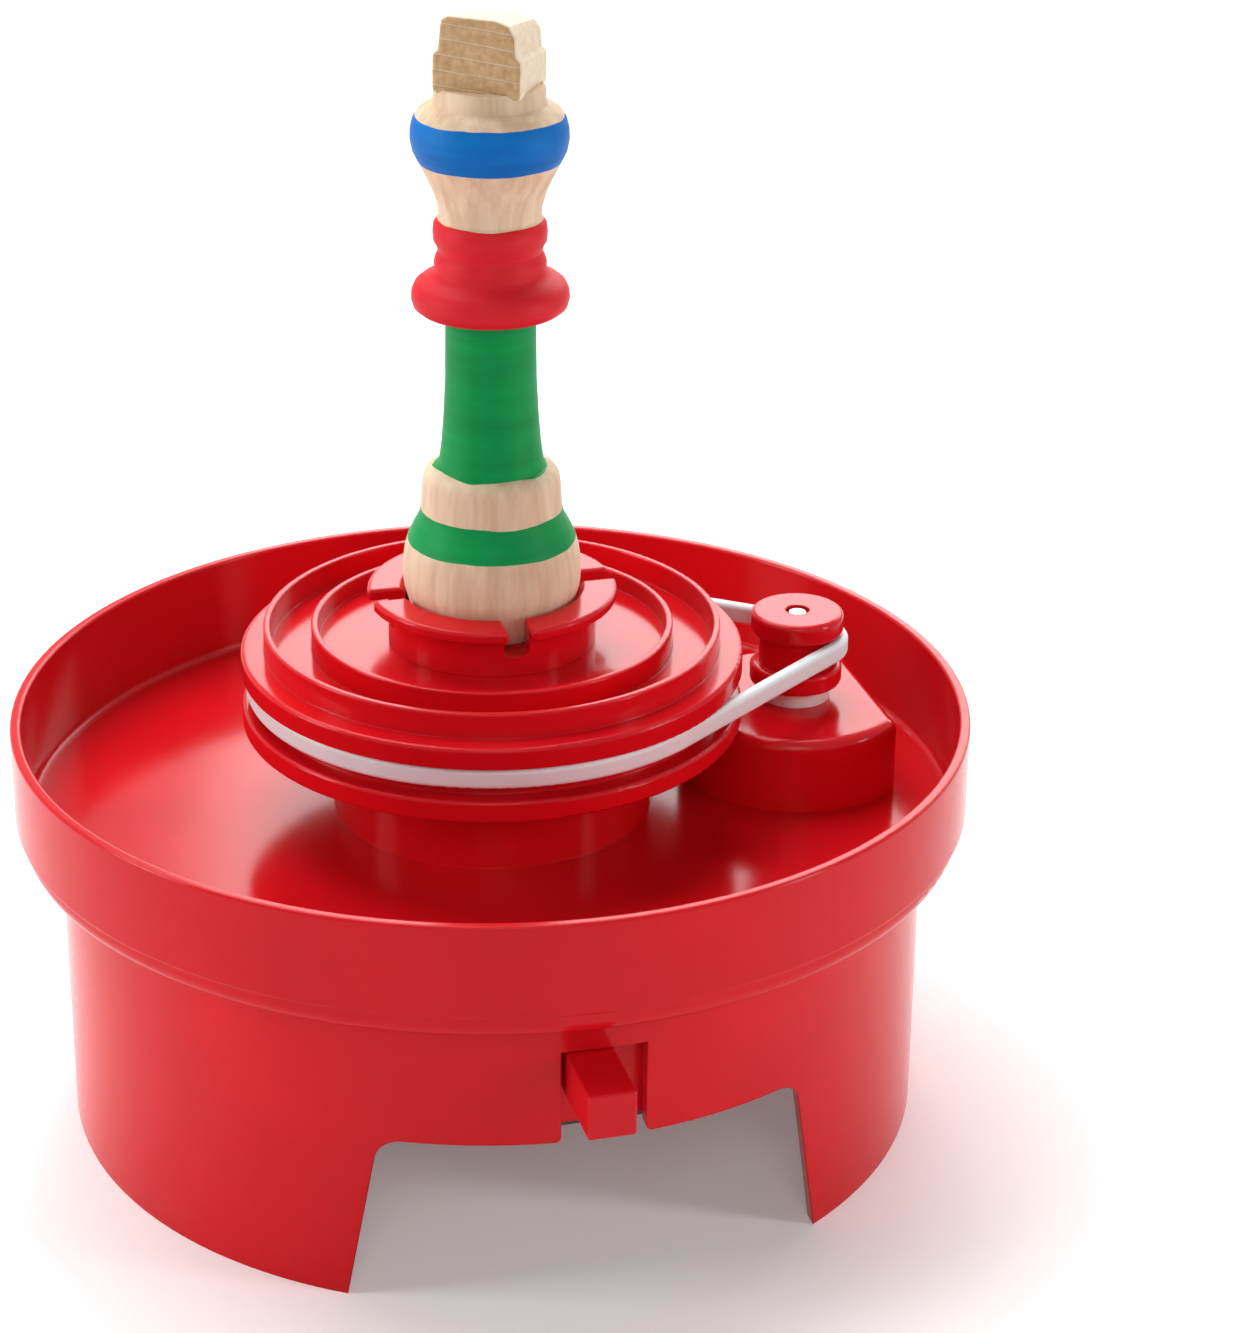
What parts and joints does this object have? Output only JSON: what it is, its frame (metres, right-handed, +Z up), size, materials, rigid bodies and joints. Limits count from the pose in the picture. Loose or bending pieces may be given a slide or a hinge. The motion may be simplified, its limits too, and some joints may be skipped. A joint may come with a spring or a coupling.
{
  "type": "spin art machine",
  "caption": "Round glossy tub on a skirted base, with a belt driven turntable whose slotted collar holds a turned wooden figure, a motor under a dome and a slide switch.",
  "frame": {"origin": "where the turntable's axis meets the surface that the machine stands on", "axes": "+Z up along the turntable's axis, -Y towards the switch at the front, +X towards the motor at the right"},
  "size_m": [0.16, 0.1657, 0.1883],
  "materials": {
    "red_plastic": "glossy red moulded plastic",
    "inner_plastic": "matt off-white plastic",
    "dark_plastic": "matt black plastic",
    "white_plastic": "satin white plastic",
    "bright_steel": "bright zinc plated steel",
    "brass": "brass",
    "white_rubber": "soft white rubber",
    "beech": "turned beech with painted bands",
    "magnet_iron": "dark sintered magnet",
    "laminated_iron": "stacked iron",
    "copper_wire": "enamelled copper wire",
    "cell_jacket": "plain dark cell jacket",
    "red_lead": "red insulated wire",
    "black_lead": "black insulated wire"
  },
  "bodies": {
    "base": {"basin": "red_plastic", "base_skirt": "red_plastic", "motor_cover": "red_plastic", "shaft_bearing": "white_plastic", "spindle": "bright_steel", "thrust_washer": "bright_steel", "retaining_washer": "bright_steel", "retaining_screw": "bright_steel", "motor_can": "bright_steel", "motor_end_cap": "inner_plastic", "motor_magnets": "magnet_iron", "motor_brushes": "brass", "motor_terminals": "brass", "motor_cradle": "inner_plastic", "cradle_screws": "bright_steel", "battery_box": "inner_plastic", "battery_left": "cell_jacket", "battery_right": "cell_jacket", "contact_springs": "bright_steel", "battery_contacts": "bright_steel", "contact_bridge": "bright_steel", "box_screws": "bright_steel", "switch_bracket": "dark_plastic", "switch_leaves": "brass", "bracket_screws": "bright_steel", "skirt_screws": "bright_steel", "switch_lead": "red_lead", "motor_lead": "red_lead", "return_lead": "black_lead", "drive_belt": "white_rubber"},
    "turntable": {"turntable_wheel": "red_plastic", "hub_bush": "brass", "figure_collar": "red_plastic", "collar_screws": "bright_steel"},
    "drive": {"motor_pulley": "red_plastic", "motor_shaft": "bright_steel", "motor_armature": "laminated_iron", "motor_windings": "copper_wire", "motor_commutator": "brass"},
    "figure": {"wooden_figure": "beech"},
    "slider": {"switch_slider": "red_plastic", "sliding_contact": "brass"},
    "door": {"battery_door": "inner_plastic", "door_screws": "bright_steel"}
  },
  "joints": [
    {"name": "turntable_spin", "type": "hinge", "parent": "base", "child": "turntable", "pos_m": [0, 0, 0.0765], "axis": [0, 0, 1], "continuous": true},
    {"name": "pulley_spin", "type": "hinge", "parent": "base", "child": "drive", "pos_m": [0.0535, 0, 0.0765], "axis": [0, 0, 1], "continuous": true},
    {"name": "figure_lift", "type": "slide", "parent": "turntable", "child": "figure", "axis": [0, 0, 1], "range_m": [0, 0.03]},
    {"name": "switch_slide", "type": "slide", "parent": "base", "child": "slider", "axis": [1, 0, 0], "range_m": [0, 0.0046]},
    {"name": "battery_door_lift", "type": "slide", "parent": "base", "child": "door", "axis": [0, 0, -1], "range_m": [0, 0.02]}
  ],
  "couplings": [
    {"joint": "pulley_spin", "follows": "turntable_spin", "ratio": 5.1818}
  ]
}
